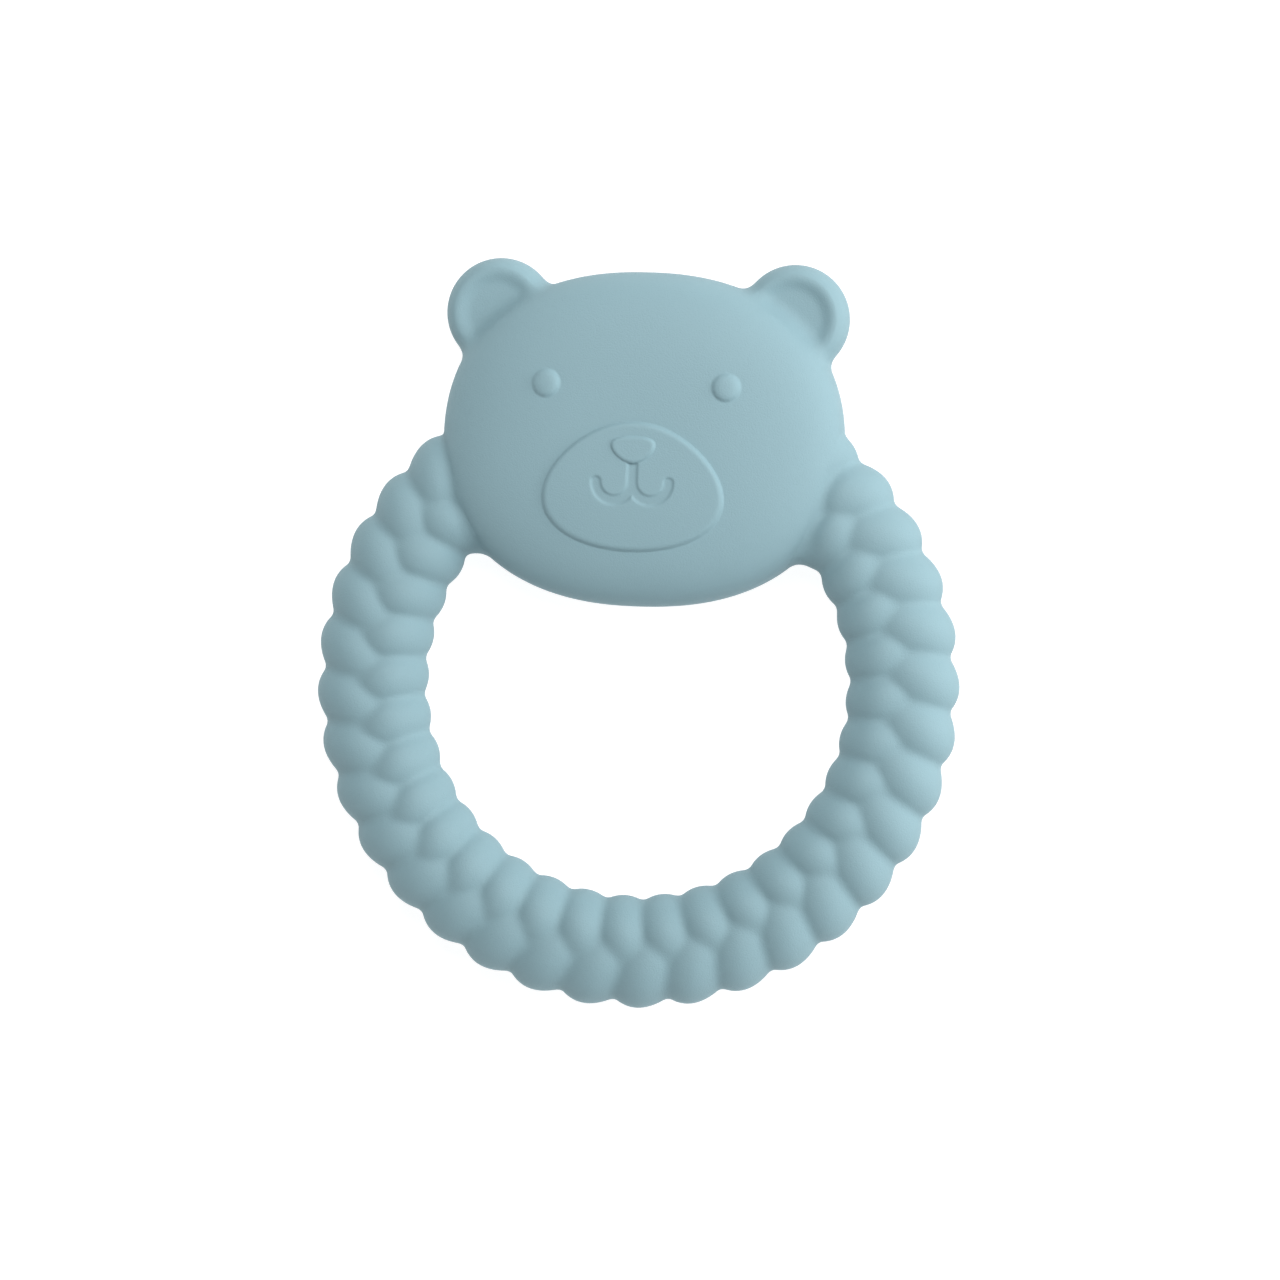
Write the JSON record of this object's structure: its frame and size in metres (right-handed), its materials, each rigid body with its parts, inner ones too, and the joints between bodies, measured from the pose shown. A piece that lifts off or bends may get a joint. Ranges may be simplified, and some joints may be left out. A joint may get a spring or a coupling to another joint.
{
  "type": "teething ring",
  "caption": "Flat soft teething ring: a round braided grip ring whose ends run into a domed bear head with two ears and a raised muzzle.",
  "frame": {"origin": "on the surface the ring lies on, under the middle of its outline", "axes": "+Z out of the bear's face, +Y from the ring towards the ears, +X to the right as the face is looked at"},
  "size_m": [0.0911, 0.1051, 0.017],
  "materials": {
    "silicone_ring": "matte moulded silicone, blue-grey",
    "silicone_head": "matte moulded silicone, blue-grey",
    "silicone_face_relief": "matte moulded silicone, blue-grey"
  },
  "bodies": {
    "root": {"grip_ring": "silicone_ring", "head": "silicone_head", "ear_left": "silicone_head", "ear_right": "silicone_head", "eye_left": "silicone_face_relief", "eye_right": "silicone_face_relief", "muzzle": "silicone_face_relief", "nose": "silicone_face_relief"}
  },
  "joints": []
}
